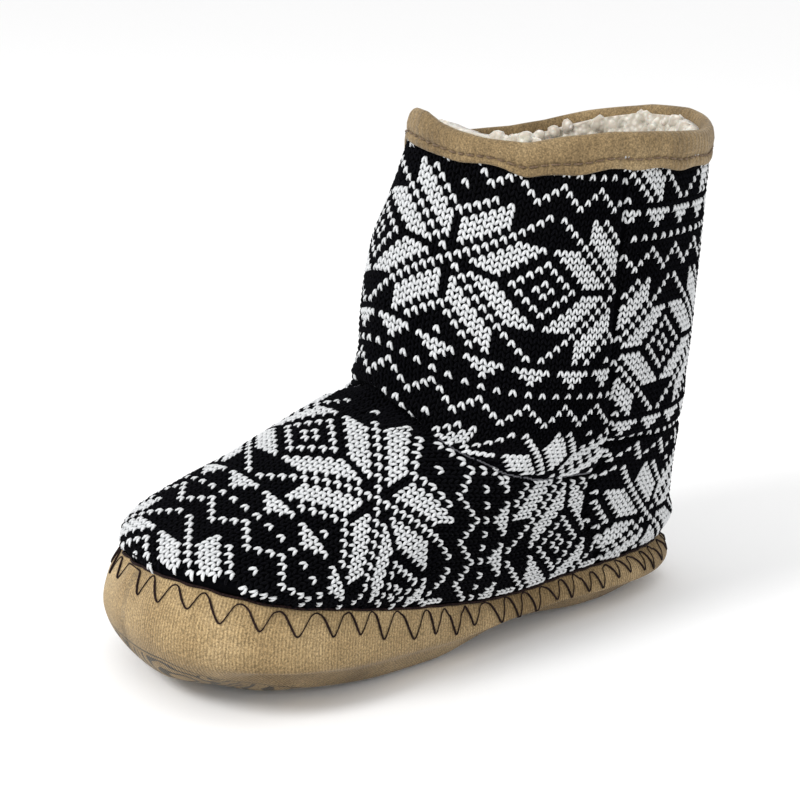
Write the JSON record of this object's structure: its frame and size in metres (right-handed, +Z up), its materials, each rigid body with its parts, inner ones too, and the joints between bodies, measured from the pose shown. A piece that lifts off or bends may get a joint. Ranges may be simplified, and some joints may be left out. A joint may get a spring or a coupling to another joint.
{
  "type": "ankle boot",
  "caption": "Soft knit ankle boot for the right foot, with a suede cup sole, a folded suede collar binding, an insole and an open hollow upper.",
  "frame": {"origin": "on the floor, under the middle of the boot's box", "axes": "+Z up, toe towards -Y, heel towards +Y, inner side of the foot towards +X"},
  "size_m": [0.1256, 0.25, 0.202],
  "materials": {
    "suede": "brushed matt suede with a short nap",
    "suede_tape": "matt suede tape, folded and stitched",
    "knit": "two-colour jacquard knit in black and white, soft matt yarn",
    "pile": "curly cream pile lining",
    "thread": "dark twisted sewing thread"
  },
  "bodies": {
    "root": {"outsole": "suede", "insole": "pile", "upper": "knit", "collar_binding": "suede_tape"}
  },
  "joints": []
}
